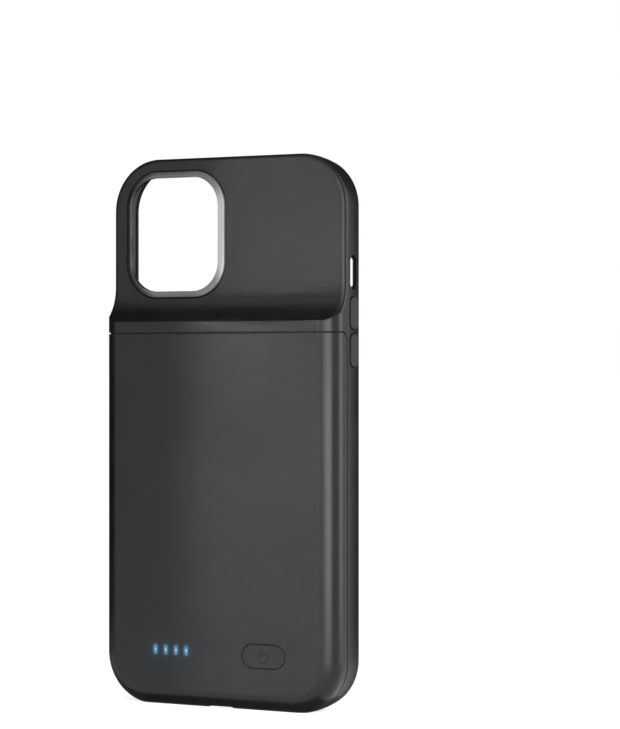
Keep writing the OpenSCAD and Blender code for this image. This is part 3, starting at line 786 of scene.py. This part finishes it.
# %% [markdown]
# A black object on white is lit by what is kept dark as much as by what is bright. Photographers stand
# dark cards round it, outside the picture, so that its rounded edges don't mirror the white room and melt
# into it. Here a bent screen stands close behind and to the left, a grey card hangs above and another
# lies at the foot. They work on mirror-like rays alone: no camera sees them, and they throw no shade.

# %% Dark cards
def round_case(azimuth, distance, height):
    """A point round the case. azimuth is measured from straight behind the back, towards the keys' side."""
    turn = math.radians(azimuth)
    return math.sin(turn) * distance, -math.cos(turn) * distance, height


def mirrored_card(name, finish, corners):
    """Only mirror-like rays meet the card, so it shades neither the floor nor the case."""
    card = flat_card(name, finish, corners)
    card.visible_camera = False
    card.visible_diffuse = False
    card.visible_shadow = False


dark_card = make_card("dark_card", (0.01, 0.01, 0.01), (0.018, 0.018, 0.018))[0]
grey_card = make_card("grey_card", grey(206), grey(212))[0]
foot_card = make_card("foot_card", grey(160), grey(166))[0]

ABOVE = 0.5
mirrored_card("card_above", grey_card, level_corners(-0.8, 0.8, -0.22, 0.7, ABOVE))
JUST_OFF_FLOOR = 0.0004
FOOT_OUTLINE = [(-0.2, -0.0105), (0.034, -0.0105), (0.034, 0.01), (0.11, 0.18), (-0.2, 0.2)]
mirrored_card("card_at_foot", foot_card, [(x, y, JUST_OFF_FLOOR) for x, y in FOOT_OUTLINE])

SCREENS, SCREEN_START, SCREEN_TURN = 5, 146, 32
SCREEN_DISTANCE, SCREEN_HEIGHT = 0.17, 0.8
for step in range(SCREENS):
    start = SCREEN_START + SCREEN_TURN * step
    stop = start + SCREEN_TURN
    ends = [(start, 0.0), (stop, 0.0), (stop, SCREEN_HEIGHT), (start, SCREEN_HEIGHT)]
    mirrored_card(f"screen_{step}", dark_card,
                  [round_case(azimuth, SCREEN_DISTANCE, height) for azimuth, height in ends])
print("screens stand", SCREEN_DISTANCE, "m from the case's middle")

# %% [markdown]
# The main light comes from the left, where the flat back mirrors it. Its beam is nearly parallel, and its
# left edge falls on the back: right of that edge the back is a shade brighter. A second beam from higher
# up follows the first into the scoop. Three windows close by on the right draw the bright lines where the
# side turns away: two stand one above the other, and the third looks at the side wall. A wide, soft
# window straight behind the back fills in.

# %% Lights
def window_light(name, azimuth, distance, middle, size, power, spread, lateral=0.0, climb=0.0):
    """An area light that looks at the case from a distance, level or from climb degrees above."""
    data = bpy.data.lights.new(name, "AREA")
    data.shape = "RECTANGLE"
    data.size, data.size_y = size
    data.energy = power
    data.spread = math.radians(spread)
    turn, rise = math.radians(azimuth), math.radians(climb)
    target = Vector((math.cos(turn) * lateral, math.sin(turn) * lateral, middle))
    light = bpy.data.objects.new(name, data)
    away, up = distance * math.cos(rise), distance * math.sin(rise)
    light.location = target + Vector(round_case(azimuth, away, up))
    light.rotation_euler = (target - light.location).to_track_quat("-Z", "Y").to_euler()
    light.visible_camera = False
    bpy.context.scene.collection.objects.link(light)
    print(name, "stands at", [round(part, 3) for part in light.location])


MIRROR_SIDE = -30.0
BEAM_WIDTH, BEAM_SPREAD, BEAM_SHIFT = 0.0714, 1.2, 0.0322
window_light("beam_window", MIRROR_SIDE, 0.9, 0.08, (BEAM_WIDTH, 0.5), 0.0043, BEAM_SPREAD,
             lateral=BEAM_SHIFT)
window_light("high_beam_window", MIRROR_SIDE, 0.9, 0.11, (BEAM_WIDTH, 0.2), 0.0014, BEAM_SPREAD,
             lateral=BEAM_SHIFT, climb=15.0)
window_light("fill_window", 0.0, 1.1, 0.12, (0.4, 0.6), 1.2, 120.0)
window_light("edge_window", 35.0, 0.25, 0.059, (0.17, 0.118), 0.25, 150.0)
window_light("upper_edge_window", 35.0, 0.25, 0.26, (0.17, 0.28), 0.3, 150.0)
window_light("side_window", 118.0, 0.3, 0.25, (0.13, 0.5), 0.42, 150.0)

# %% [markdown]
# ## Finish
#
# The plain colour transform keeps colours as they were mixed.

# %% Finish
bpy.context.scene.view_settings.view_transform = "Standard"
